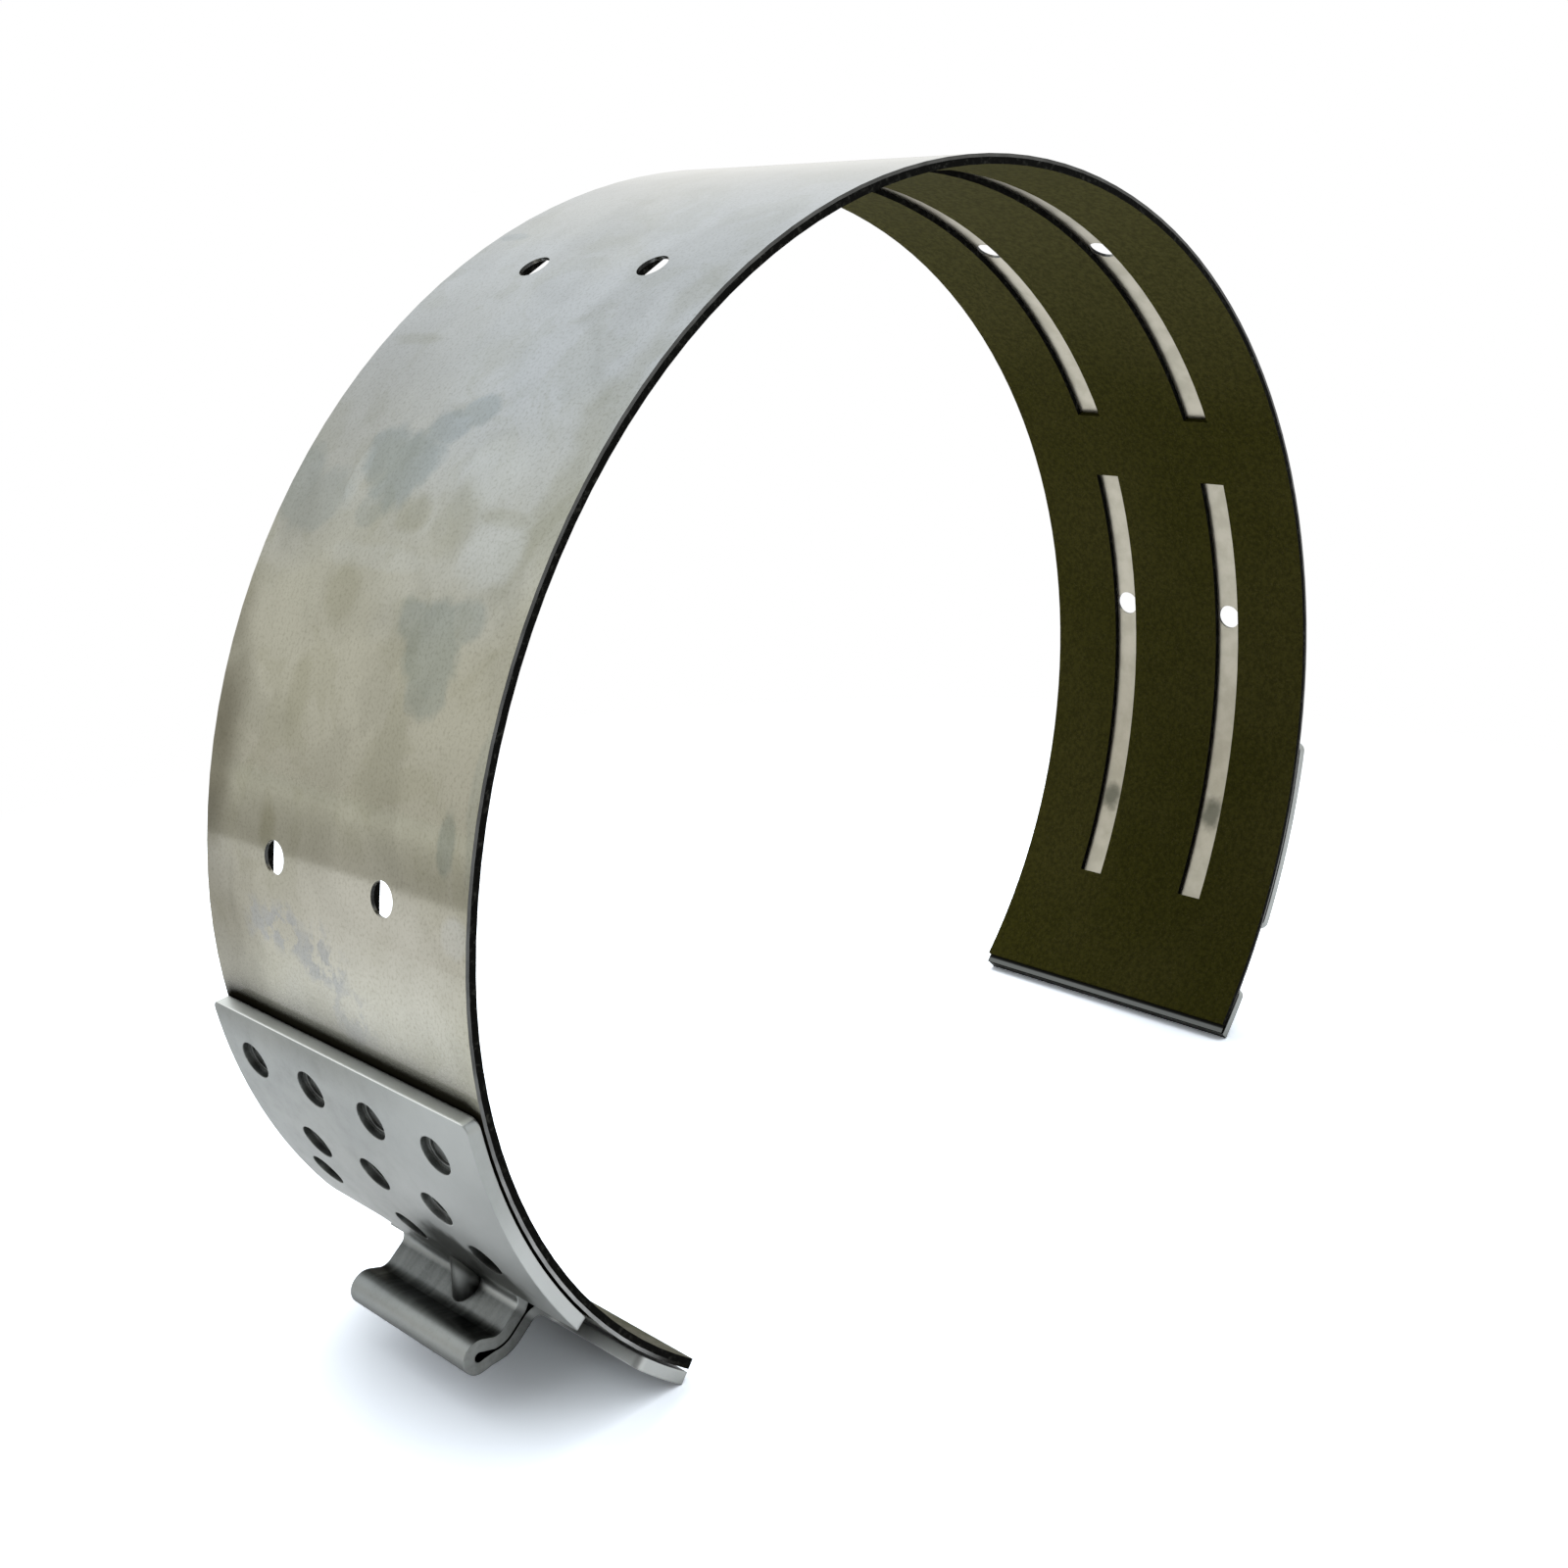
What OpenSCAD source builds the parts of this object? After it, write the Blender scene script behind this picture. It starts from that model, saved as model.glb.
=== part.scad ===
// Wrap-around transmission band: a spring steel strap lined on the inside with
// friction paper, with a folded sheet bracket welded to the outside of each end.
// The band's axis is Y, the drum seat's centre is the origin, and the band
// stands on the outer corners of its two ends. Lengths are in millimetres.

/* [Band] */
// radius of the drum that the lining wraps
drum_r = 77.4; // [60:0.1:100]
// width of the strap and the lining along the axis
band_w = 48; // [36:0.5:60]
// thickness of the steel strap
strap_t = 0.4; // [0.3:0.05:1]
// thickness of the friction lining
lining_t = 0.8; // [0.5:0.05:1.2]
// how far the lining stops short of the strap's right-hand end
lining_short = 1.3; // [0:0.1:3]

/* [Free shape] */
// angle of the right-hand end; the drum seat runs from here to the top, at 90
seat_start = -22.5; // [-26:0.1:-18]
// how much larger the radius of the left side is than the drum's
side_open = 5.1; // [1:0.1:7]
// how much smaller the radius of the tail is than the drum's
tail_close = 14.8; // [4:0.1:16]
// angle of the left-hand end, at the tail's tip
tail_end = 254; // [244:0.1:258]

/* [Oil grooves] */
// distance of each row of grooves from the middle of the width
groove_row = 10; // [8:0.1:12]
// width of a groove
groove_w = 4.2; // [4:0.1:5.5]
// ends of the first groove, on the right-hand side
groove_1 = [-7.4, 45.6];
// ends of the second groove, at the top on the right
groove_2 = [54.2, 108.2];
// ends of the third groove, at the top on the left
groove_3 = [116.3, 167.9];
// ends of the fourth groove, on the left-hand side
groove_4 = [176, 235.8];
// diameter of an oil hole through the strap
oil_hole_d = 3.8; // [2.5:0.1:3.9]
// angles of the four pairs of oil holes
oil_hole_at = [28.1, 81.5, 142.1, 193];

/* [End brackets] */
// thickness of the bracket sheet
sheet_t = 1.5; // [1.2:0.05:1.8]
// gap between the strap and the bracket, which the weld bosses bridge
sheet_gap = 0.35; // [0.25:0.05:0.5]
// length of the long foot, with the welds
foot_len = 30.8; // [30:0.1:34]
// length of the short foot, at the end of the band
toe_len = 8.2; // [6:0.1:10]
// distance from the fold to the long foot's full width
foot_neck = 4.7; // [4:0.1:5]
// distance from the fold to the short foot's full width
toe_neck = 6; // [5:0.1:7]
// radius inside the corners of the neck
neck_fillet = 2.6; // [1.5:0.1:3]
// radius of the feet's corners
foot_corner = 1.3; // [0.5:0.1:2]

/* [Folded lug] */
// width of the folded lug
lug_w = 22; // [18:0.5:26]
// radius of the outside corner between a foot and the lug
bend_r = 1.2; // [0.8:0.1:2]
// width of the slot between the two layers
slot_w = 0.3; // [0.2:0.05:0.5]
// height above the strap where the lug leans over
lean_at = 5.2; // [4.6:0.1:6]
// how far the lug leans over towards the long foot
lean = 45; // [30:1:50]
// radius of the lean, at the middle of the slot
lean_r = 3.4; // [3:0.1:4.5]
// length of the straight part of the hairpin
hairpin_len = 2.07; // [1.8:0.01:3]
// radius inside the hairpin's end
hairpin_r = 0.6; // [0.45:0.05:0.8]
// width of the rib that stiffens the fold
rib_w = 3.8; // [2:0.1:4.4]
// distance of the rib's foot from the fold
rib_foot = 6.2; // [5.6:0.1:7]
// distance of the rib and the middle weld from the middle of the width
rib_off = 2.2; // [0:0.1:4]
// height of the rib's top above the strap
rib_top = 5.4; // [5:0.1:6]

/* [Welds] */
// diameter of a weld dimple
dimple_d = 4.7; // [3:0.1:4.8]
// depth of a weld dimple's outer step
dimple_step = 0.8; // [0.3:0.05:0.9]
// depth of a weld dimple in all
dimple_deep = 1.1; // [1:0.05:1.2]
// distance of the first row of welds from the foot's free edge
weld_row_1 = 6.3; // [4:0.1:7]
// distance of the second row of welds from the foot's free edge
weld_row_2 = 16.2; // [14:0.1:17]
// distance of the outer welds of the third row from that edge
weld_row_3 = 22.8; // [21:0.1:23.5]
// distance of the middle weld of the third row from that edge
weld_mid = 26; // [25:0.1:26.2]
// spacing of the four welds of the first row
weld_pitch = 11.5; // [10:0.1:12]
// how far the welds lie to one side of the middle of the width
weld_off = 1; // [0:0.1:2]

/* [Hidden] */
$fn = 120;
steel = "#a9a79f";
sheet_steel = "#9da1a0";
friction_paper = "#3a3321";

lining_out = lining_t;
strap_out = lining_t + strap_t;
side_r = drum_r + side_open;
tail_r = drum_r - tail_close;

function dir(a) = [cos(a), sin(a)];
function degrees_of(len, r) = len / r * 180 / PI;

// The left side's centre lies straight under the drum seat's, and the tail's
// lies from it as 24 across is to 7 down, so neighbouring arcs meet on lines
// through round numbers.
side_c = [0, -side_open];
tail_way = [-24, -7] / 25;
tail_c = side_c + (side_r - tail_r) * tail_way;
seat_end = 90;
side_end = 180 + atan2(7, 24);
skin = strap_out + sheet_gap + sheet_t;
left_corner = tail_c + (tail_r + skin) * dir(tail_end);
right_corner = (drum_r + skin) * dir(seat_start);
tilt = atan2(right_corner[1] - left_corner[1], right_corner[0] - left_corner[0]);

// a piece of a ring in the plane, between two angles less than half a turn apart
module arc_piece(r_in, r_out, a1, a2) {
  m = (a1 + a2) / 2;
  intersection() {
    difference() {
      circle(r_out);
      circle(r_in);
    }
    polygon([[0, 0], 2 * r_out * dir(a1), 2 * r_out * dir(m), 2 * r_out * dir(a2)]);
  }
}

// the part of the plane where the section follows the left side's arc
module side_wedge() {
  far = 200;
  polygon([side_c, side_c + [0, far], side_c + [-far, far], side_c + far * tail_way]);
}

// A small key inside the section, across the line where two arcs meet, so
// that rounding never parts them. c, r and a are an arc's centre, radius and
// angle there.
module arc_key(c, r, a, d_in, d_out) {
  k = (d_out - d_in) / 4;
  translate(c)
    rotate(a)
      translate([r + d_in + k, -k])
        square(2 * k);
}

// The part of the band's section between two depths and two angles. Each arc
// runs on a little past its end and is then cut along the wedge's edge, so
// that neighbours share that edge.
module band_piece(d_in, d_out, a1, a2) {
  past = 10;
  if (a1 < seat_end && a2 > seat_end)
    arc_key([0, 0], drum_r, seat_end, d_in, d_out);
  if (a1 < side_end && a2 > side_end)
    arc_key(side_c, side_r, side_end, d_in, d_out);
  if (a1 < seat_end)
    difference() {
      arc_piece(drum_r + d_in, drum_r + d_out, a1, a2 > seat_end ? seat_end + past : a2);
      if (a2 > seat_end)
        side_wedge();
    }
  if (a1 < side_end && a2 > seat_end)
    intersection() {
      translate(side_c)
        arc_piece(side_r + d_in, side_r + d_out, a1 < seat_end ? seat_end - past : a1,
                  a2 > side_end ? side_end + past : a2);
      side_wedge();
    }
  if (a2 > side_end)
    difference() {
      translate(tail_c)
        arc_piece(tail_r + d_in, tail_r + d_out, a1 < side_end ? side_end - past : a1, a2);
      if (a1 < side_end)
        side_wedge();
    }
}

// stands a section up across the axis, tilted as the band rests
module across(w) {
  rotate([90, 0, 0])
    rotate([0, 0, -tilt])
      linear_extrude(height = w, center = true)
        children();
}

module groove_cut(ends) {
  for (row = [-groove_row, groove_row])
    translate([0, row, 0])
      across(groove_w)
        band_piece(-1, strap_out - strap_t + 0.05, ends[0], ends[1]);
}

module oil_hole(a) {
  c = a < seat_end ? [0, 0] : (a < side_end ? side_c : tail_c);
  r = a < seat_end ? drum_r : (a < side_end ? side_r : tail_r);
  for (row = [-groove_row, groove_row])
    rotate([90, 0, 0])
      rotate([0, 0, -tilt])
        translate([c[0], c[1], row])
          rotate([0, 0, a])
            rotate([0, 90, 0])
              translate([0, 0, r - 2])
                cylinder(d = oil_hole_d, h = strap_out + 4);
}

module strap() {
  color(steel)
    difference() {
      across(band_w)
        band_piece(lining_out, strap_out, seat_start, tail_end);
      for (a = oil_hole_at)
        oil_hole(a);
    }
}

module lining() {
  color(friction_paper)
    difference() {
      across(band_w)
        band_piece(0, lining_out, seat_start + degrees_of(lining_short, drum_r), tail_end);
      groove_cut(groove_1);
      groove_cut(groove_2);
      groove_cut(groove_3);
      groove_cut(groove_4);
    }
}

// Bracket sections are drawn about the centre of the arc that they lie on,
// with the fold on the Y axis and the long foot on the side of plus X.
// strap_r is the outer radius of the strap there.

function sheet_in(strap_r) = strap_r + sheet_gap;
function sheet_out(strap_r) = strap_r + sheet_gap + sheet_t;
layer_out = slot_w / 2 + sheet_t;
bend_x = layer_out + bend_r;
// Arcs and flats that follow on are set this far apart in level, so that they
// meet in a true edge. It is too small to see or feel.
seam = 0.002;
function bend_y(strap_r) =
  floor(1000 * sqrt(pow(sheet_out(strap_r) + bend_r, 2) - pow(bend_x, 2))) / 1000 - seam;

// Where the line from (h, 0) touches a circle of radius r centred on (0, len),
// drawn slightly inside the circle so that the line crosses it.
function touch_a(h, r, len) = acos(r / sqrt(h * h + len * len)) - atan2(len, h);
function touch(h, r, len) =
  [(r - 5 * seam) * cos(touch_a(h, r, len)), len + (r - 5 * seam) * sin(touch_a(h, r, len))];

// the hairpin's outline, which starts a little below the X axis
module teardrop(h, r, len, below) {
  t = touch(h, r, len);
  polygon([[-h, -below], [h, -below], [h, 0], t, [-t[0], t[1]], [-h, 0]]);
  translate([0, len])
    circle(r);
}

module hairpin_head() {
  difference() {
    teardrop(layer_out - seam, hairpin_r + sheet_t, hairpin_len, 0.05);
    teardrop(slot_w / 2 + seam, hairpin_r, hairpin_len, 1);
  }
}

// the bend from a foot, on the side of plus or minus X, up into the lug
module bend(strap_r, side) {
  c = [side * bend_x, bend_y(strap_r)];
  intersection() {
    translate(c)
      difference() {
        circle(bend_r + sheet_t);
        circle(bend_r);
      }
    polygon([c, c - [side * 10, 0], [0, 0]]);
  }
}

// both layers of the lug, from the feet to the hairpin's end
module lug_section(strap_r) {
  by = bend_y(strap_r);
  top = strap_r + lean_at;
  bend(strap_r, 1);
  bend(strap_r, -1);
  for (x = [slot_w / 2, -layer_out])
    translate([x, by])
      square([sheet_t, top - by]);
  translate([lean_r, top]) {
    arc_piece(lean_r - layer_out, lean_r - slot_w / 2, 180 - lean, 180);
    arc_piece(lean_r + slot_w / 2, lean_r + layer_out, 180 - lean, 180);
    rotate(-lean)
      translate([-lean_r, 0])
        hairpin_head();
  }
}

// both feet, from the short one's end to the long one's free edge
module feet_section(strap_r, a_end, a_free) {
  by = bend_y(strap_r);
  difference() {
    arc_piece(sheet_in(strap_r), sheet_out(strap_r), 90 - a_free, 90 + a_end);
    polygon([[0, 0], 2 * [bend_x, by], 2 * [-bend_x, by]]);
  }
}

// a solid bracket section of the given width; Z is the band's axis here
module slab(w) {
  linear_extrude(height = w, center = true)
    children();
}

// turns plus Z outward at an angle from the fold, with X along the band
module facing_out(a) {
  rotate([0, 0, -a])
    rotate([-90, 0, 0])
      children();
}

// the notch beside the neck, with the feet's inner corners rounded at its mouth
module neck_notch(strap_r) {
  x1 = -toe_neck;
  x2 = foot_neck;
  edge = band_w / 2;
  corner_y = edge - foot_corner - seam;
  for (s = [-1, 1])
    facing_out(0)
      translate([0, 0, strap_r - 3])
        linear_extrude(height = 9)
          mirror([0, s < 0 ? 1 : 0])
            difference() {
              union() {
                translate([x1, lug_w / 2 + neck_fillet])
                  square([x2 - x1, edge]);
                translate([x1 - foot_corner, corner_y])
                  square([x2 - x1 + 2 * foot_corner, edge]);
                translate([x1 + neck_fillet, lug_w / 2])
                  square([x2 - x1 - 2 * neck_fillet, edge]);
                for (x = [x1 + neck_fillet, x2 - neck_fillet])
                  translate([x, lug_w / 2 + neck_fillet])
                    circle(neck_fillet);
              }
              for (x = [x1 - foot_corner, x2 + foot_corner])
                translate([x, corner_y])
                  circle(foot_corner);
            }
}

// rounds both corners of the long foot's free edge, which lies at an angle a
module corner_cut(strap_r, a) {
  inset = foot_corner + seam;
  for (s = [-1, 1])
    facing_out(a)
      translate([0, 0, strap_r - 2])
        linear_extrude(height = 6)
          mirror([0, s < 0 ? 1 : 0])
            translate([-inset, band_w / 2 - inset])
              difference() {
                square(foot_corner + 1);
                circle(foot_corner);
              }
}

// the welds: distance from the foot's free edge, and place along the axis
function weld_row(from_edge, steps) = [for (k = steps) [from_edge, weld_off + k * weld_pitch]];
function welds() = concat(
  weld_row(weld_row_1, [-1.5, -0.5, 0.5, 1.5]),
  weld_row(weld_row_2, [-1, 0, 1]),
  weld_row(weld_row_3, [-1.32, 1.32]),
  [[weld_mid, rib_off]]
);

module at_weld(strap_r, p) {
  facing_out(degrees_of(foot_neck + foot_len - p[0], strap_r))
    translate([0, p[1], strap_r])
      children();
}

// the rib pressed across the bend that the strut loads, with a round crest
module fold_rib(strap_r) {
  foot_y = sqrt(pow(sheet_out(strap_r), 2) - pow(rib_foot, 2)) - 0.2;
  top_y = strap_r + rib_top;
  slope = atan2(top_y - foot_y, rib_foot - layer_out);
  intersection() {
    slab(2 * (rib_w + rib_off))
      polygon([[layer_out - 0.3, top_y + 1], [rib_foot, foot_y + 1], [rib_foot, foot_y],
               [rib_foot - 1.5, foot_y - 0.3], [bend_x, bend_y(strap_r) - bend_r - 0.4],
               [layer_out - 0.3, bend_y(strap_r)]]);
    translate([rib_foot, foot_y, rib_off])
      rotate([0, 0, -slope])
        translate([-9, -rib_w / 2, 0])
          rotate([0, 90, 0])
            linear_extrude(height = 12) {
              circle(d = rib_w);
              translate([-rib_w / 2, -6])
                square([rib_w, 6]);
            }
  }
}

module bracket(strap_r) {
  a_free = degrees_of(foot_neck + foot_len, strap_r);
  a_end = degrees_of(toe_neck + toe_len, strap_r);
  difference() {
    union() {
      difference() {
        slab(band_w)
          feet_section(strap_r, a_end, a_free);
        neck_notch(strap_r);
        corner_cut(strap_r, a_free);
      }
      slab(lug_w)
        lug_section(strap_r);
      fold_rib(strap_r);
      for (p = welds())
        at_weld(strap_r, p)
          translate([0, 0, -0.5])
            cylinder(d = dimple_d - 0.8, h = sheet_gap + 0.8);
    }
    for (p = welds())
      at_weld(strap_r, p) {
        translate([0, 0, sheet_gap + sheet_t - dimple_step])
          cylinder(d = dimple_d, h = 3);
        translate([0, 0, sheet_gap + sheet_t - dimple_deep])
          cylinder(d = dimple_d - 1.2, h = 3);
      }
    slab(band_w + 2)
      circle(strap_r);
  }
}

module left_end_bracket() {
  strap_r = tail_r + strap_out;
  a = tail_end - degrees_of(toe_neck + toe_len, strap_r);
  color(sheet_steel)
    rotate([90, 0, 0])
      rotate([0, 0, -tilt])
        translate([tail_c[0], tail_c[1], 0])
          rotate([0, 0, a - 90])
            bracket(strap_r);
}

module right_end_bracket() {
  strap_r = drum_r + strap_out;
  a = seat_start + degrees_of(toe_neck + toe_len, strap_r);
  color(sheet_steel)
    rotate([90, 0, 0])
      rotate([0, 0, -tilt])
        rotate([0, 0, a - 90])
          mirror([1, 0, 0])
            bracket(strap_r);
}

strap();
lining();
left_end_bracket();
right_end_bracket();
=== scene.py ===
# Transmission band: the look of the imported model, with its camera, light and floor.
import math
import bpy
from mathutils import Matrix, Vector


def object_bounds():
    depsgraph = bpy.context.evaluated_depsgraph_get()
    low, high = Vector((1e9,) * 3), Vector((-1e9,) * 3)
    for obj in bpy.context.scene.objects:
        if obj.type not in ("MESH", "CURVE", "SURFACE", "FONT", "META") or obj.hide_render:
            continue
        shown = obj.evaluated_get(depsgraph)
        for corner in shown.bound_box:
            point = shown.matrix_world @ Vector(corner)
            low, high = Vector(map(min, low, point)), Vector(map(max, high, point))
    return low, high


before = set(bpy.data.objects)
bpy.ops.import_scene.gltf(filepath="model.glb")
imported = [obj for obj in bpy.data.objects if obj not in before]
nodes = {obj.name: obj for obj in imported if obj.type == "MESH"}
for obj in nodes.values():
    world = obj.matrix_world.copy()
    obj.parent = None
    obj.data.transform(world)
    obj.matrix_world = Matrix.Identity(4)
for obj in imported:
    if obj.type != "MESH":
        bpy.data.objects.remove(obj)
cad_low, cad_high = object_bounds()

# Marks on the metal. Degrees count from the top towards the left-hand end, so
# they are negative on the right. Each mark is its degrees, its place across, its
# half length and half width in metres, and its strength from 0 to 1.
BLUE_STAINS = [
    (55.0, 0.0040, 0.0044, 0.0050, 1.0),
    (54.0, 0.0088, 0.0034, 0.0032, 0.9),
    (51.6, 0.0014, 0.0022, 0.0036, 0.9),
    (50.0, -0.0022, 0.0018, 0.0028, 0.8),
    (67.9, -0.0114, 0.0042, 0.0052, 1.0),
    (66.2, -0.0068, 0.0028, 0.0030, 0.9),
    (66.0, -0.0152, 0.0022, 0.0034, 0.8),
    (70.3, -0.0124, 0.0026, 0.0034, 0.9),
    (80.0, -0.0200, 0.0030, 0.0014, 0.9),
    (77.6, -0.0238, 0.0080, 0.0013, 0.5),
    (59.2, 0.0074, 0.0018, 0.0019, 0.5),
    (59.0, 0.0165, 0.0036, 0.0050, 0.6),
    (57.0, 0.0230, 0.0044, 0.0040, 0.7),
    (29.0, 0.0214, 0.0008, 0.0024, 0.7),
]
OLIVE_STAINS = [
    (58.8, -0.0010, 0.0018, 0.0030, 0.9),
    (58.5, -0.0072, 0.0036, 0.0033, 0.9),
    (65.6, 0.0066, 0.0030, 0.0026, 0.6),
    (73.0, 0.0090, 0.0040, 0.0014, 0.4),
    (82.4, 0.0118, 0.0028, 0.0016, 1.0),
    (52.5, -0.0218, 0.0130, 0.0028, 0.8),
    (37.0, -0.0210, 0.0060, 0.0018, 0.6),
    (43.2, 0.0180, 0.0008, 0.0040, 0.6),
    (58.2, -0.0160, 0.0008, 0.0050, 0.5),
]
# brown and darker, low on the far rim
RIM_STAINS = [
    (69.0, 0.0245, 0.0060, 0.0034, 0.6),
    (79.0, 0.0242, 0.0110, 0.0052, 1.0),
    (93.5, 0.0242, 0.0110, 0.0085, 0.7),
]
GREY_VEIL = [
    (50.0, 0.0200, 0.0150, 0.0120, 1.0),
    (60.0, 0.0200, 0.0060, 0.0080, 0.6),
]
PALE_PATCHES = [
    (54.6, -0.0105, 0.0034, 0.0056, 0.8),
    (60.8, -0.0158, 0.0036, 0.0040, 0.9),
    (56.4, 0.0122, 0.0034, 0.0012, 0.6),
    (62.4, 0.0020, 0.0014, 0.0080, 0.4),
    (85.9, -0.0220, 0.0018, 0.0020, 0.9),
]
# a broad area of painted light below the lower pair of oil holes
PAINTED_LIGHT_AREA = [
    (89.5, -0.0070, 0.0085, 0.0150, 1.0),
]
# dark smears on the left bracket above its rib
SMEARS = [
    (115.7, -0.0066, 0.0045, 0.0048, 1.0),
    (118.3, -0.0020, 0.0034, 0.0062, 1.0),
    (116.3, -0.0128, 0.0042, 0.0058, 0.9),
]
# dulled patches by the welded end
SCUFFS = [
    (90.6, 0.0090, 0.0024, 0.0056, 1.0),
    (91.6, 0.0015, 0.0028, 0.0050, 1.0),
    (94.5, -0.0030, 0.0024, 0.0040, 0.6),
]
# dark spots in two of the grooves
HEAT_MARKS = [
    (-108.3, 0.0100, 0.0022, 0.0016, 1.0),
    (-107.7, -0.0100, 0.0026, 0.0017, 1.0),
]
# the ledge past the lining at the right-hand end: degrees where it starts, where
# its dried glue and painted shadow end, and over which each of the two changes
LEDGE_START = -132.5
LEDGE_BARE = -132.9
LEDGE_FADE = 0.1
BARE_FADE = 0.25
# degrees over which the slit edge brightens, and over which the lining gets
# a painted sheen, both at the left-hand end
BRIGHT_EDGE = (92.0, 112.0)
SHEEN_END = (112.0, 124.0)
# middle of the tail's arc, which carries the left bracket
TAIL_MIDDLE = (-0.02166, 0.0, -0.00309)
# degrees from the top, about TAIL_MIDDLE, of the left bracket's upper edge
FOOT_EDGE = 98.29
# distances at which the lugs begin, from TAIL_MIDDLE on the left and from the
# band's axis on the right
LUG_START_LEFT = 0.0660
LUG_START_RIGHT = 0.0808
LUG_FADE = 0.001
# an angle round the band is a length along it at this radius
TURN_R = 0.08


def turn_of(degrees):
    """The turn about the axis, in radians, of a place given in degrees."""
    return -math.radians(degrees)


def along_of(degrees):
    """The length along the band of a place given in degrees."""
    return turn_of(degrees) * TURN_R


# Shader building
class Graph:
    """Adds nodes to a material's or world's tree with short calls."""

    def __init__(self, tree):
        self.tree = tree
        tree.nodes.clear()

    def add(self, kind, **settings):
        node = self.tree.nodes.new(kind)
        for name, value in settings.items():
            setattr(node, name, value)
        return node

    def link(self, source, target):
        self.tree.links.new(source, target)

    def put(self, value, socket):
        """Links an output to a socket, or sets the socket to a number or colour."""
        if isinstance(value, bpy.types.NodeSocket):
            self.link(value, socket)
        else:
            socket.default_value = value

    def math(self, operation, a, b=0.0, clamp=False):
        node = self.add("ShaderNodeMath", operation=operation, use_clamp=clamp)
        self.put(a, node.inputs[0])
        self.put(b, node.inputs[1])
        return node.outputs[0]

    def times(self, a, b):
        return self.math("MULTIPLY", a, b)

    def plus(self, a, b):
        return self.math("ADD", a, b)

    def minus(self, a, b):
        return self.math("SUBTRACT", a, b)

    def rest(self, share):
        """What is left of 1."""
        return self.minus(1.0, share)

    def vector(self, operation, a, b=(0, 0, 0), out=0):
        node = self.add("ShaderNodeVectorMath", operation=operation)
        self.put(a, node.inputs[0])
        self.put(b, node.inputs[1])
        return node.outputs[out]

    def split(self, vector):
        node = self.add("ShaderNodeSeparateXYZ")
        self.link(vector, node.inputs[0])
        return node.outputs

    def join(self, x, y, z):
        node = self.add("ShaderNodeCombineXYZ")
        for i, value in enumerate((x, y, z)):
            self.put(value, node.inputs[i])
        return node.outputs[0]

    def noise(self, place, scale, detail=3.0, rough=0.5, warp=0.0):
        node = self.add("ShaderNodeTexNoise")
        self.link(place, node.inputs["Vector"])
        node.inputs["Scale"].default_value = scale
        node.inputs["Detail"].default_value = detail
        node.inputs["Roughness"].default_value = rough
        node.inputs["Distortion"].default_value = warp
        return node.outputs["Fac"]

    def ramp(self, value, low, high):
        """0 at low, 1 at high, smooth between; low may be the larger of the two."""
        node = self.add("ShaderNodeMapRange", interpolation_type="SMOOTHSTEP")
        self.link(value, node.inputs["Value"])
        node.inputs["From Min"].default_value = low
        node.inputs["From Max"].default_value = high
        return node.outputs["Result"]

    def mix(self, share, a, b, blend="MIX"):
        node = self.add("ShaderNodeMix", data_type="RGBA", blend_type=blend)
        self.put(share, node.inputs[0])
        for value, socket in ((a, node.inputs[6]), (b, node.inputs[7])):
            self.put(value if isinstance(value, bpy.types.NodeSocket) else (*value, 1.0), socket)
        return node.outputs[2]

    def tint(self, share, a, b):
        """a multiplied by the colour b, by a share."""
        return self.mix(share, a, b, "MULTIPLY")

    def recess(self, distance, low, high):
        """1 deep in corners, slots and holes, 0 on open faces: the share of open
        sky within a distance runs from low to high."""
        node = self.add("ShaderNodeAmbientOcclusion", samples=8)
        node.inputs["Distance"].default_value = distance
        return self.ramp(node.outputs["AO"], high, low)

    def bump(self, height, distance, strength=1.0, normal=None):
        node = self.add("ShaderNodeBump")
        self.link(height, node.inputs["Height"])
        node.inputs["Distance"].default_value = distance
        node.inputs["Strength"].default_value = strength
        if normal is not None:
            self.link(normal, node.inputs["Normal"])
        return node.outputs["Normal"]


def new_material(name):
    material = bpy.data.materials.new(name)
    material.use_nodes = True
    graph = Graph(material.node_tree)
    out = graph.add("ShaderNodeOutputMaterial")
    shader = graph.add("ShaderNodeBsdfPrincipled")
    graph.link(shader.outputs[0], out.inputs["Surface"])
    return material, graph, shader


class BandPlace:
    """Where a point lies on the band, and which way its surface faces."""

    def __init__(self, graph):
        coords = graph.add("ShaderNodeTexCoord")
        self.place = coords.outputs["Object"]
        x, y, z = graph.split(self.place)
        self.along = graph.times(graph.math("ARCTAN2", x, z), TURN_R)
        self.across = y
        self.flat = graph.join(self.along, y, 0.0)
        # 1 on the faces cut across the axis, and on faces turned to the axis
        side = graph.math("ABSOLUTE", graph.split(coords.outputs["Normal"])[1])
        self.cut_side = graph.ramp(side, 0.6, 0.9)
        facing = graph.vector("DOT_PRODUCT", coords.outputs["Normal"], self.place, out=1)
        self.inner = graph.ramp(facing, 0.0, -0.01)


def soft_edges(graph, radius):
    node = graph.add("ShaderNodeBevel", samples=4)
    node.inputs["Radius"].default_value = radius
    return node.outputs[0]


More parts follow.
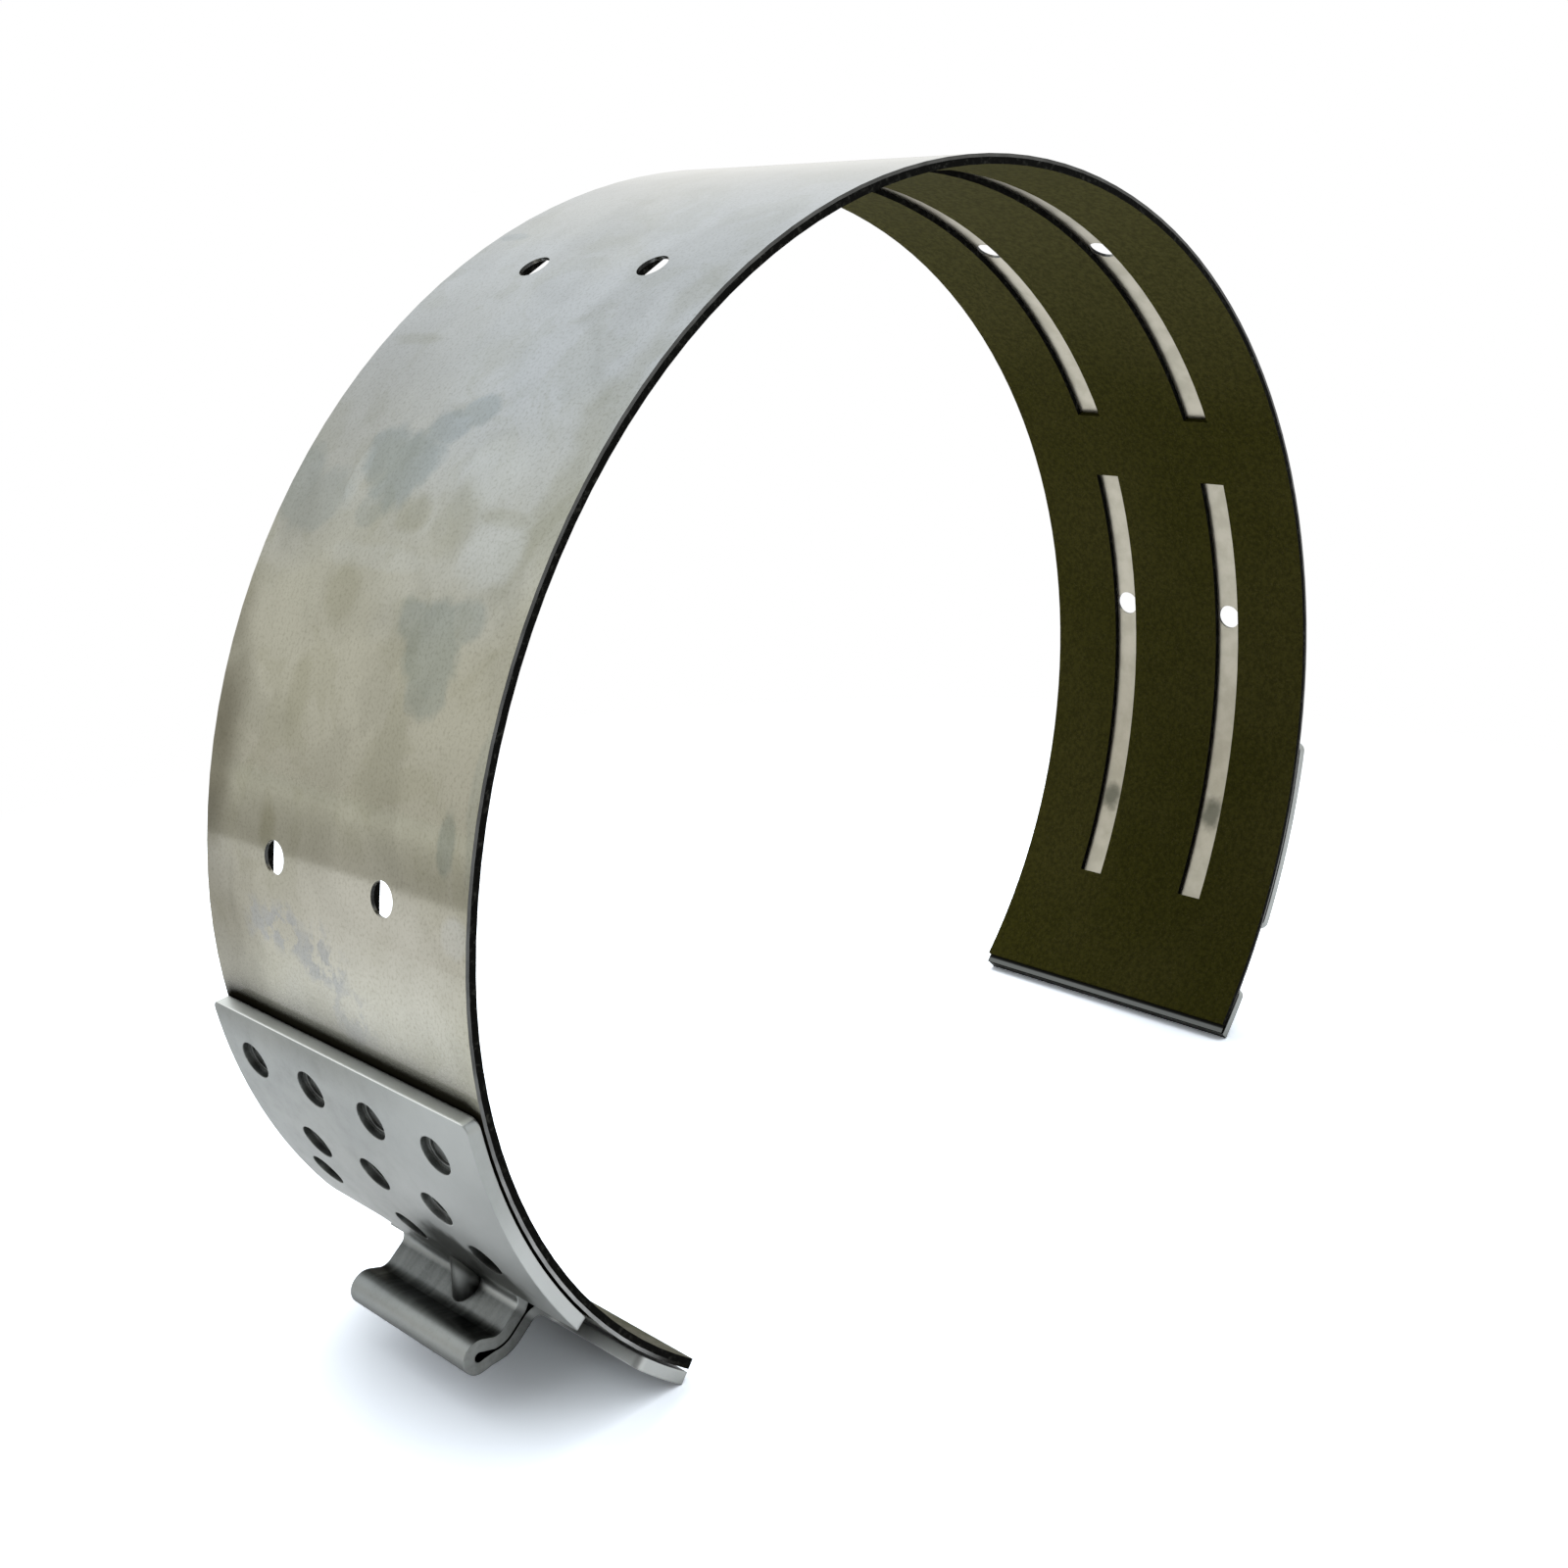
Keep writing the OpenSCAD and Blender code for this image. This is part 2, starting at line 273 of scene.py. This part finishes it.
def stains(g, band, marks, warp_scale, warp_size, soft):
    """The strongest of the marks at each point, from 0 to 1. Noise of scale
    warp_scale bends their outlines by warp_size, and soft is the share of a
    mark's size over which it fades."""
    broad = g.minus(g.noise(band.flat, warp_scale, 2.0), 0.5)
    fine = g.minus(g.noise(band.flat, warp_scale * 5, 3.0), 0.5)
    fine_share = 0.25
    shift = g.times(g.plus(broad, g.times(fine, fine_share)), warp_size)
    total = 0.0
    for degrees, across, half_length, half_width, strength in marks:
        away = g.vector("SUBTRACT", band.flat, (along_of(degrees), across, 0.0))
        scaled = g.vector("MULTIPLY", away, (1 / half_length, 1 / half_width, 0.0))
        distance = g.plus(g.vector("LENGTH", scaled, out=1), shift)
        share = g.times(g.ramp(distance, 1.0 + soft, 1.0 - soft), strength)
        total = g.math("MAXIMUM", share, total)
    return total


# Rolled spring steel of the strap
# Its two steels, and the colours that stains, dirt, painted light and painted shade multiply it by
# or turn it to
STEEL_COOL = (0.402, 0.417, 0.424)
STEEL_WARM = (0.416, 0.405, 0.332)
BY_VEIL = (0.86, 0.86, 0.85)
BY_PATCH = (0.90, 0.90, 0.86)
BY_GREY = (0.80, 0.80, 0.81)
TO_PALE = (0.47, 0.48, 0.46)
BY_OLIVE = (0.76, 0.75, 0.66)
BY_BROWN = (0.42, 0.40, 0.35)
BY_BLUE = (0.70, 0.76, 0.80)
TO_PAINTED_LIGHT_AREA = (0.530, 0.518, 0.452)
TO_SCUFF = (0.325, 0.338, 0.342)
BY_MOTTLE = (0.86, 0.86, 0.84)
BY_SPECK = (0.62, 0.61, 0.57)
RESIN_PALE = (0.455, 0.425, 0.350)
RESIN_DARK = (0.385, 0.360, 0.290)
BY_HEAT = (0.25, 0.27, 0.25)
GLUE_AND_SHADOW = (0.010, 0.010, 0.009)
BARE_LEDGE = (0.130, 0.134, 0.128)
# painted shade on most of the slit edges
SLIT_PAINTED_SHADE = (0.11, 0.112, 0.11)
SLIT_BRIGHT = (0.40, 0.405, 0.40)
BY_GRAIN = (0.6, 0.6, 0.6)
BY_SHADE = (0.03, 0.028, 0.022)


def strap_steel():
    material, g, shader = new_material("strap_steel")
    band = BandPlace(g)
    flat = band.flat
    # a warm tone on the lower half, cooler towards the top
    cloud = g.noise(flat, 24.0, 4.0, 0.5, 0.5)
    low_side = g.ramp(g.math("ABSOLUTE", band.along), 0.050, 0.105)
    warmth = g.math("ADD", low_side, g.times(g.minus(cloud, 0.5), 1.6), clamp=True)
    colour = g.mix(warmth, STEEL_COOL, STEEL_WARM)
    # stains, large and small
    blue = stains(g, band, BLUE_STAINS, 120.0, 1.9, 0.26)
    olive = stains(g, band, OLIVE_STAINS, 130.0, 2.0, 0.50)
    grey = stains(g, band, GREY_VEIL, 60.0, 1.4, 0.70)
    brown = stains(g, band, RIM_STAINS, 90.0, 1.0, 0.60)
    pale = stains(g, band, PALE_PATCHES, 150.0, 1.2, 0.30)
    veil = g.ramp(g.noise(g.vector("ADD", flat, (3.1, 1.7, 0.0)), 46.0, 4.0, 0.55, 0.9), 0.47, 0.60)
    colour = g.tint(g.times(veil, 0.75), colour, BY_VEIL)
    patch = g.ramp(g.noise(g.vector("ADD", flat, (0.4, 2.9, 0.0)), 105.0, 4.0, 0.6, 0.6), 0.50, 0.60)
    colour = g.tint(g.times(patch, 0.7), colour, BY_PATCH)
    colour = g.tint(grey, colour, BY_GREY)
    colour = g.mix(g.times(pale, 0.55), colour, TO_PALE)
    colour = g.tint(g.times(olive, 0.8), colour, BY_OLIVE)
    colour = g.tint(g.times(brown, 0.9), colour, BY_BROWN)
    colour = g.tint(g.times(blue, 0.85), colour, BY_BLUE)
    # painted light over a broad area below the lower oil holes
    painted_light_area = stains(g, band, PAINTED_LIGHT_AREA, 60.0, 0.8, 0.50)
    colour = g.mix(g.times(painted_light_area, 0.6), colour, TO_PAINTED_LIGHT_AREA)
    scuff = stains(g, band, SCUFFS, 160.0, 2.2, 0.35)
    flake = g.ramp(g.noise(flat, 330.0, 5.0, 0.66), 0.44, 0.53)
    scuff = g.times(scuff, flake)
    colour = g.mix(g.times(scuff, 0.7), colour, TO_SCUFF)
    # fine mottling, specks and the rolled grain
    mottle = g.noise(flat, 240.0, 5.0, 0.6)
    colour = g.tint(g.times(g.ramp(mottle, 0.35, 0.65), 0.35), colour, BY_MOTTLE)
    speck = g.noise(flat, 2600.0, 2.0, 0.6)
    colour = g.tint(g.times(g.ramp(speck, 0.45, 0.75), 0.5), colour, BY_SPECK)
    grain_place = g.vector("MULTIPLY", flat, (260.0, 2400.0, 0.0))
    grain = g.noise(grain_place, 1.0, 3.0, 0.6)
    # resin on the inner face, which shows in the grooves and on the ledge
    heat = stains(g, band, HEAT_MARKS, 500.0, 0.9, 0.5)
    resin = g.mix(g.ramp(mottle, 0.35, 0.65), RESIN_PALE, RESIN_DARK)
    resin = g.tint(g.times(heat, 0.85), resin, BY_HEAT)
    # dried glue and a painted shadow of the lining's end darken the ledge next to it
    past_lining = g.ramp(band.along, along_of(LEDGE_START), along_of(LEDGE_START - LEDGE_FADE))
    bare = g.ramp(band.along, along_of(LEDGE_BARE), along_of(LEDGE_BARE - BARE_FADE))
    ledge = g.mix(bare, GLUE_AND_SHADOW, BARE_LEDGE)
    resin = g.mix(past_lining, resin, ledge)
    colour = g.mix(band.inner, colour, resin)
    # slit edges, with painted shade but for the brighter left-hand end, and
    # painted shade where the bracket shades the strap
    tail = g.ramp(band.along, along_of(BRIGHT_EDGE[0]), along_of(BRIGHT_EDGE[1]))
    slit = g.mix(tail, SLIT_PAINTED_SHADE, SLIT_BRIGHT)
    colour = g.mix(band.cut_side, colour, g.tint(g.ramp(grain, 0.3, 0.7), slit, BY_GRAIN))
    # painted shade in the strap's recesses: by the brackets and in the oil holes
    shaded = g.recess(0.010, 0.82, 0.95)
    shaded = g.times(shaded, g.rest(band.inner))
    colour = g.tint(shaded, colour, BY_SHADE)
    g.link(colour, shader.inputs["Base Color"])
    # the painted shade is neither metallic nor glossy
    outside_shade = g.rest(shaded)
    g.link(outside_shade, shader.inputs["Metallic"])
    g.link(g.times(outside_shade, 0.5), shader.inputs["Specular IOR Level"])
    rough = g.plus(g.times(mottle, 0.06), 0.055)
    rough = g.plus(rough, g.times(blue, 0.04))
    rough = g.plus(rough, g.times(scuff, 0.12))
    rough = g.plus(rough, g.times(band.inner, 0.25))
    rough = g.plus(rough, g.times(band.cut_side, 0.15))
    g.link(rough, shader.inputs["Roughness"])
    height = g.plus(g.times(grain, 0.5), g.times(speck, 0.5))
    fine = g.bump(height, 0.000004, 0.6, soft_edges(g, 0.00007))
    wavy = g.noise(flat, 45.0, 2.0, 0.5)
    g.link(g.bump(wavy, 0.00008, 0.4, fine), shader.inputs["Normal"])
    return material


# Pressed sheet of the end brackets
# Its two tones, and the colours that wear, dirt, painted light and painted shade multiply it by or
# turn it to
SHEET_DARK = (0.272, 0.286, 0.280)
SHEET_PALE = (0.302, 0.314, 0.303)
BY_CLOUD = (0.80, 0.80, 0.78)
BY_SHEET_SPECK = (0.7, 0.7, 0.68)
TORN_FACE = (0.400, 0.415, 0.405)
TO_PAINTED_LIGHT_NEAR = (0.400, 0.417, 0.408)
TO_PAINTED_LIGHT_LOW = (0.64, 0.66, 0.65)
BY_PAINTED_SHADE_EDGE = (0.72, 0.72, 0.69)
BY_SMEAR = (0.12, 0.12, 0.11)
BY_RECESS_SHADE = (0.06, 0.058, 0.05)
BY_LUG_SHADE_AND_OIL = (0.025, 0.024, 0.02)
TO_PAINTED_EDGE_LIGHT = (0.74, 0.76, 0.73)


def bracket_steel():
    material, g, shader = new_material("bracket_steel")
    band = BandPlace(g)
    broad = g.noise(band.place, 70.0, 3.0, 0.5, 0.4)
    mottle = g.noise(band.place, 420.0, 5.0, 0.62)
    speck = g.noise(band.place, 2600.0, 2.0, 0.6)
    colour = g.mix(g.ramp(broad, 0.35, 0.65), SHEET_DARK, SHEET_PALE)
    colour = g.tint(g.times(g.ramp(mottle, 0.45, 0.75), 0.35), colour, BY_CLOUD)
    colour = g.tint(g.times(g.ramp(speck, 0.5, 0.75), 0.25), colour, BY_SHEET_SPECK)
    # sheared faces are rougher, with a faint streak through the sheet
    streak = g.noise(g.vector("MULTIPLY", band.place, (700.0, 90.0, 700.0)), 1.0, 4.0, 0.6)
    torn = g.tint(g.ramp(streak, 0.35, 0.7), TORN_FACE, BY_CLOUD)
    colour = g.mix(band.cut_side, colour, torn)
    # the lug stands off the sheet that lies on the strap
    x, y, z = g.split(band.place)
    from_middle = g.vector("SUBTRACT", band.place, TAIL_MIDDLE)
    tail_x, tail_y, tail_z = g.split(from_middle)
    turned = g.math("ARCTAN2", tail_x, tail_z)
    from_left = g.vector("LENGTH", g.join(tail_x, 0.0, tail_z), out=1)
    from_right = g.vector("LENGTH", g.join(x, 0.0, z), out=1)
    on_left = g.ramp(from_left, LUG_START_LEFT, LUG_START_LEFT + LUG_FADE)
    on_right = g.ramp(from_right, LUG_START_RIGHT, LUG_START_RIGHT + LUG_FADE)
    is_left = g.math("LESS_THAN", x, 0.0)
    lug = g.plus(on_right, g.times(is_left, g.minus(on_left, on_right)))
    sheet = g.rest(lug)
    # painted light on the near side, most of all low down, and painted shade by the
    # upper edge of the foot
    painted_light_near = g.times(g.ramp(y, 0.004, -0.022), sheet)
    colour = g.mix(g.times(painted_light_near, 0.8), colour, TO_PAINTED_LIGHT_NEAR)
    painted_light_low = g.ramp(turned, turn_of(FOOT_EDGE + 7.0), turn_of(FOOT_EDGE + 17.0))
    painted_light_low = g.times(painted_light_low, g.times(painted_light_near, 0.7))
    colour = g.mix(painted_light_low, colour, TO_PAINTED_LIGHT_LOW)
    painted_shade_by_edge = g.ramp(turned, turn_of(FOOT_EDGE + 4.5), turn_of(FOOT_EDGE + 0.4))
    painted_shade_by_edge = g.times(painted_shade_by_edge, g.rest(painted_light_near))
    colour = g.tint(painted_shade_by_edge, colour, BY_PAINTED_SHADE_EDGE)
    smear = stains(g, band, SMEARS, 190.0, 1.1, 0.3)
    colour = g.tint(g.times(smear, sheet), colour, BY_SMEAR)
    # painted shade in the folds, the slot and the weld dimples, and in the lug's folds painted shade
    # streaked with oil
    recess_shade = g.recess(0.006, 0.28, 0.62)
    colour = g.tint(recess_shade, colour, BY_RECESS_SHADE)
    drawn = g.noise(g.vector("MULTIPLY", band.place, (110.0, 900.0, 110.0)), 1.0, 3.0, 0.6)
    lug_shade_and_oil = g.times(g.recess(0.012, 0.36, 0.90), lug)
    lug_shade_and_oil = g.times(lug_shade_and_oil, g.plus(g.times(g.ramp(drawn, 0.35, 0.65), 0.20), 0.78))
    colour = g.tint(lug_shade_and_oil, colour, BY_LUG_SHADE_AND_OIL)
    # painted light on the sheared face of the foot's upper edge
    edge_away = g.math("ABSOLUTE", g.minus(turned, turn_of(FOOT_EDGE)))
    edge_face = g.ramp(edge_away, math.radians(0.18), math.radians(0.10))
    colour = g.mix(edge_face, colour, TO_PAINTED_EDGE_LIGHT)
    g.link(colour, shader.inputs["Base Color"])
    shader.inputs["Metallic"].default_value = 1.0
    rough = g.plus(g.times(mottle, 0.14), 0.32)
    rough = g.plus(rough, g.times(band.cut_side, 0.06))
    g.link(rough, shader.inputs["Roughness"])
    height = g.plus(g.times(mottle, 0.6), g.times(speck, 0.4))
    g.link(g.bump(height, 0.00001, 0.6, soft_edges(g, 0.00025)), shader.inputs["Normal"])
    return material


# Friction paper of the lining
# Its two tones, and the colours that a painted sheen, painted light, wear and the cut faces turn it
# to
PAPER_DARK = (0.0360, 0.0342, 0.0050)
PAPER_PALE = (0.0440, 0.0405, 0.0085)
TO_PAINTED_SHEEN = (0.200, 0.196, 0.165)
TO_PAINTED_LIGHT_TOP = (0.082, 0.077, 0.028)
BY_FIBRE = (0.62, 0.62, 0.6)
TO_SPECK = (0.075, 0.066, 0.030)
CUT_DARK = (0.004, 0.004, 0.0035)
CUT_PALE = (0.030, 0.030, 0.026)


def friction_paper():
    material, g, shader = new_material("friction_paper")
    band = BandPlace(g)
    broad = g.noise(band.place, 35.0, 3.0, 0.5)
    fibre = g.noise(band.place, 1300.0, 4.0, 0.7)
    speck = g.noise(band.place, 3600.0, 2.0, 0.6)
    colour = g.mix(g.ramp(broad, 0.35, 0.65), PAPER_DARK, PAPER_PALE)
    # painted sheen at the left-hand end, and painted light towards the top
    painted_sheen = g.ramp(band.along, along_of(SHEEN_END[0]), along_of(SHEEN_END[1]))
    cloudy = g.plus(g.times(g.ramp(broad, 0.38, 0.62), 0.45), 0.35)
    painted_sheen = g.times(painted_sheen, cloudy)
    colour = g.mix(painted_sheen, colour, TO_PAINTED_SHEEN)
    # painted light, growing higher up on the lining
    high = g.ramp(g.split(band.place)[2], 0.040, 0.078)
    colour = g.mix(g.times(high, 0.6), colour, TO_PAINTED_LIGHT_TOP)
    colour = g.tint(g.ramp(fibre, 0.35, 0.65), colour, BY_FIBRE)
    colour = g.mix(g.times(g.ramp(speck, 0.55, 0.75), 0.4), colour, TO_SPECK)
    cut = g.mix(g.ramp(fibre, 0.52, 0.72), CUT_DARK, CUT_PALE)
    colour = g.mix(band.cut_side, colour, cut)
    g.link(colour, shader.inputs["Base Color"])
    shader.inputs["Roughness"].default_value = 0.8
    shader.inputs["Specular IOR Level"].default_value = 0.03
    height = g.plus(g.times(fibre, 0.6), g.times(speck, 0.4))
    g.link(g.bump(height, 0.00008, 1.0), shader.inputs["Normal"])
    return material


# Floor: a white sheet under the band on a plain table. The sheet's far edge
# lies SHEET_REACH from the middle, towards SHEET_WAY, and the table goes from
# dark to pale over TABLE_FADE beyond it.
FLOOR_HALF = 6.0
SHEET_REACH = 0.441
SHEET_WAY = (-0.752, 0.659)
SHEET_EDGE = 0.012
TABLE_FADE = 1.3
# colours of the floor for bounced light, for mirror rays and for the camera
SHEET_BOUNCED = (0.90, 0.90, 0.90)
SHEET_MIRRORED = (0.95, 0.96, 0.98)
TABLE_NEAR = (0.52, 0.505, 0.475)
TABLE_FAR = (0.96, 0.94, 0.89)
FLOOR_SEEN = (1.58, 1.66, 1.78)
# distances from the middle over which the camera's floor turns plain white
PLAIN_FROM = 0.13
PLAIN_AT = 0.26


def pale_floor():
    material = bpy.data.materials.new("pale_floor")
    material.use_nodes = True
    g = Graph(material.node_tree)
    out = g.add("ShaderNodeOutputMaterial")
    place = g.add("ShaderNodeTexCoord").outputs["Object"]
    x, y, z = g.split(place)
    flat = g.join(x, y, 0.0)
    across = g.vector("DOT_PRODUCT", flat, (*SHEET_WAY, 0.0), out=1)
    beyond = g.ramp(across, SHEET_REACH, SHEET_REACH + SHEET_EDGE)
    rays = g.add("ShaderNodeLightPath").outputs
    seen = rays["Is Camera Ray"]
    mirrored = rays["Is Glossy Ray"]
    # light bounces off the plain sheet; camera and mirror rays see it whiter
    sheet = g.mix(seen, SHEET_BOUNCED, FLOOR_SEEN)
    sheet = g.mix(mirrored, sheet, SHEET_MIRRORED)
    far_off = g.ramp(across, SHEET_REACH, SHEET_REACH + TABLE_FADE)
    table = g.mix(far_off, TABLE_NEAR, TABLE_FAR)
    table = g.mix(seen, table, FLOOR_SEEN)
    shader = g.add("ShaderNodeBsdfDiffuse")
    g.link(g.mix(beyond, sheet, table), shader.inputs["Color"])
    # away from the band the camera sees plain white
    white = g.add("ShaderNodeEmission")
    white.inputs["Color"].default_value = (1.0, 1.0, 1.0, 1.0)
    fade = g.ramp(g.vector("LENGTH", flat, out=1), PLAIN_FROM, PLAIN_AT)
    on_sheet = g.times(mirrored, g.rest(beyond))
    share = g.times(fade, g.math("MAXIMUM", seen, on_sheet))
    mixed = g.add("ShaderNodeMixShader")
    g.link(share, mixed.inputs[0])
    g.link(shader.outputs[0], mixed.inputs[1])
    g.link(white.outputs[0], mixed.inputs[2])
    g.link(mixed.outputs[0], out.inputs["Surface"])
    return material


def make_floor(height):
    mesh = bpy.data.meshes.new("floor")
    ways = [(-1, -1), (1, -1), (1, 1), (-1, 1)]
    corners = [(FLOOR_HALF * x, FLOOR_HALF * y, height) for x, y in ways]
    mesh.from_pydata(corners, [], [(0, 1, 2, 3)])
    floor = bpy.data.objects.new("floor", mesh)
    bpy.context.scene.collection.objects.link(floor)
    mesh.materials.append(pale_floor())


# Light: a pale room, brighter overhead, with one dark side, and a large lamp.
# The room's tones come in over heights, given as sines, and the dark side over
# cosines of the angle from DARK_WAY.
ROOM_LOW = (0.84, 0.83, 0.79)
ROOM_MIDDLE = (1.00, 1.00, 0.97)
MIDDLE_COMES_IN = (-0.08, 0.22)
ROOM_HIGH = (1.16, 1.20, 1.225)
HIGH_COMES_IN = (0.20, 0.62)
DARK_COLOUR = (0.20, 0.20, 0.20)
DARK_WAY = (-0.62, -0.55, 0.56)
DARK_COMES_IN = (0.66, 0.90)


def make_world():
    world = bpy.data.worlds.new("studio")
    bpy.context.scene.world = world
    world.use_nodes = True
    g = Graph(world.node_tree)
    out = g.add("ShaderNodeOutputWorld")
    back = g.add("ShaderNodeBackground")
    way = g.add("ShaderNodeTexCoord").outputs["Generated"]
    up = g.split(way)[2]
    room = g.mix(g.ramp(up, *MIDDLE_COMES_IN), ROOM_LOW, ROOM_MIDDLE)
    room = g.mix(g.ramp(up, *HIGH_COMES_IN), room, ROOM_HIGH)
    toward = g.vector("DOT_PRODUCT", way, DARK_WAY, out=1)
    room = g.mix(g.ramp(toward, *DARK_COMES_IN), room, DARK_COLOUR)
    seen = g.add("ShaderNodeLightPath").outputs["Is Camera Ray"]
    g.link(g.mix(seen, room, (1.0, 1.0, 1.0)), back.inputs["Color"])
    g.link(back.outputs[0], out.inputs["Surface"])


def soft_box(name, place, target, size, power, colour):
    data = bpy.data.lights.new(name, "AREA")
    data.shape = "RECTANGLE"
    data.size = size[0]
    data.size_y = size[1]
    data.energy = power
    data.color = colour
    light = bpy.data.objects.new(name, data)
    light.location = place
    light.rotation_euler = (Vector(target) - Vector(place)).to_track_quat("-Z", "Y").to_euler()
    light.visible_glossy = False
    bpy.context.scene.collection.objects.link(light)


# Camera, solved from the band's edges in the photograph: its place, the ways
# of its right and up, its lens and film width in millimetres, and its shift
CAMERA_PLACE = (-0.174607, -0.156399, 0.067877)
CAMERA_RIGHT = Vector((0.654703, -0.755795, -0.011733))
CAMERA_UP = Vector((0.222372, 0.177746, 0.958623))
LENS = 40.369
FILM_WIDTH = 36.0
SHIFT = (-0.07134, -0.00563)


def make_camera():
    data = bpy.data.cameras.new("camera")
    data.sensor_width = FILM_WIDTH
    data.lens = LENS
    data.shift_x, data.shift_y = SHIFT
    data.clip_start = 0.01
    camera = bpy.data.objects.new("camera", data)
    back = CAMERA_RIGHT.cross(CAMERA_UP)
    turn = Matrix((CAMERA_RIGHT, CAMERA_UP, back)).transposed().to_4x4()
    camera.matrix_world = Matrix.Translation(CAMERA_PLACE) @ turn
    bpy.context.scene.collection.objects.link(camera)
    bpy.context.scene.camera = camera


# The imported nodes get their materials, and the scene is put together
def wear(node, material):
    mesh = nodes[node].data
    mesh.materials.clear()
    mesh.materials.append(material)


plate = bracket_steel()
wear("strap", strap_steel())
wear("lining", friction_paper())
wear("left_end_bracket", plate)
wear("right_end_bracket", plate)

make_floor(cad_low.z)
make_world()
soft_box("ceiling", place=(0.25, 0.35, 1.1), target=(0.0, 0.0, 0.0), size=(1.0, 1.0),
         power=8.0, colour=(1.0, 0.99, 0.97))
make_camera()
bpy.context.scene.view_settings.view_transform = "Standard"
